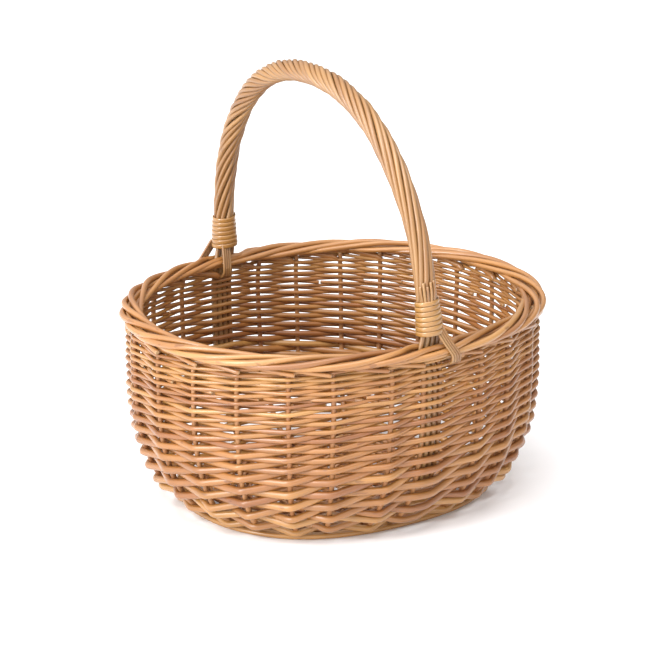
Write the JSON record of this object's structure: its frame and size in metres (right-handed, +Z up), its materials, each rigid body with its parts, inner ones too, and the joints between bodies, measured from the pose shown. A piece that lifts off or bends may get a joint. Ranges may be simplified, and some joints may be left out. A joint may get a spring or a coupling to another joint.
{
  "type": "shopping basket",
  "caption": "Oval shopping basket of woven willow rods with a thick rolled rim and one fixed arched handle across its width.",
  "frame": {"origin": "on the floor under the middle of the basket's box", "axes": "+X along the oval's length, +Y across it and in the plane of the handle, +Z up"},
  "size_m": [0.4172, 0.3818, 0.4283],
  "materials": {
    "stake": "round willow rod, dry and slightly glossy, darker than the weavers",
    "weaver": "thin buff willow rod, slightly glossy",
    "wale": "thicker buff willow rod, slightly glossy",
    "border": "thick buff willow rod, glossy",
    "base": "willow rod, matt",
    "rope": "thick light buff willow rod, glossy",
    "binding": "flat split cane, pale and glossy",
    "tie": "thin buff willow rods side by side, glossy"
  },
  "bodies": {
    "root": {"stake_01": "stake", "stake_02": "stake", "stake_03": "stake", "stake_04": "stake", "stake_05": "stake", "stake_06": "stake", "stake_07": "stake", "stake_08": "stake", "stake_09": "stake", "stake_10": "stake", "stake_11": "stake", "stake_12": "stake", "stake_13": "stake", "stake_14": "stake", "stake_15": "stake", "stake_16": "stake", "stake_17": "stake", "stake_18": "stake", "stake_19": "stake", "stake_20": "stake", "stake_21": "stake", "stake_22": "stake", "stake_23": "stake", "stake_24": "stake", "stake_25": "stake", "stake_26": "stake", "foot_wale_rod_1": "wale", "foot_wale_rod_2": "wale", "foot_wale_rod_3": "wale", "foot_wale_rod_4": "wale", "wall_weaver_lower_1": "weaver", "wall_weaver_lower_2": "weaver", "wall_weaver_upper_1": "weaver", "wall_weaver_upper_2": "weaver", "border_rod_1": "border", "border_rod_2": "border", "border_rod_3": "border", "border_rod_4": "border", "border_rod_5": "border", "border_rod_6": "border", "base_sticks": "base", "base_weaver_1": "base", "base_weaver_2": "base", "handle_bow_rod_1": "rope", "handle_bow_rod_2": "rope", "handle_bow_rod_3": "rope", "handle_roping_rod_1": "rope", "handle_roping_rod_2": "rope", "handle_roping_rod_3": "rope", "handle_roping_rod_4": "rope", "handle_roping_rod_5": "rope", "handle_roping_rod_6": "rope", "handle_roping_rod_7": "rope", "handle_roping_rod_8": "rope", "handle_roping_rod_9": "rope", "front_cane_binding": "binding", "back_cane_binding": "binding", "front_tie_outside": "tie", "back_tie_outside": "tie", "back_tie_inside": "tie"}
  },
  "joints": []
}
